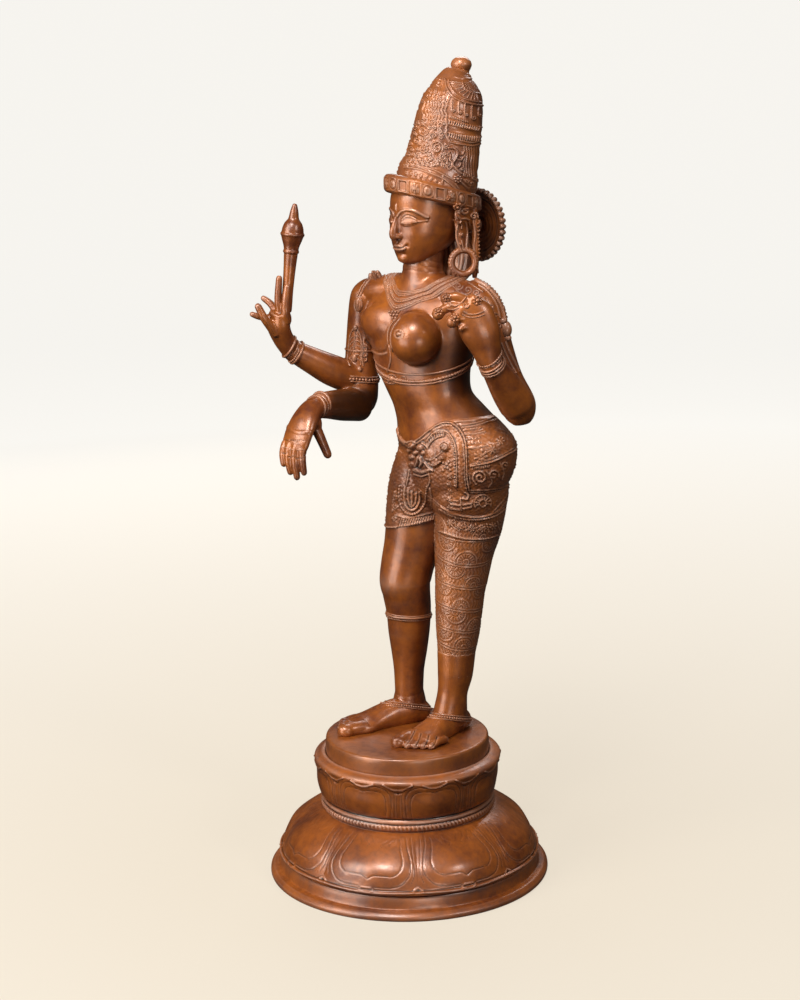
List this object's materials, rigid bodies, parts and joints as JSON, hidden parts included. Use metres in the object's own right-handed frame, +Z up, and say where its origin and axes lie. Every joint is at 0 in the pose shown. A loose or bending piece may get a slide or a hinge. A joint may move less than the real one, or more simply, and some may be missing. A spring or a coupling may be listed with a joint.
{
  "type": "ardhanarishvara statue",
  "caption": "Cast bronze standing figure, half god and half goddess, with tall crown, raised attribute and draped leg, on a round double-lotus plinth.",
  "frame": {"origin": "centre of the plinth's underside", "axes": "+Z up to the crown; the figure faces -Y and its left side is +X"},
  "size_m": [0.265, 0.265, 0.759],
  "materials": {
    "figure_bronze": "polished red-brown patina, dark in the recesses",
    "plinth_bronze": "polished red-brown patina, pale residue in the grooves"
  },
  "bodies": {
    "root": {"figure": "figure_bronze", "plinth": "plinth_bronze"}
  },
  "joints": []
}
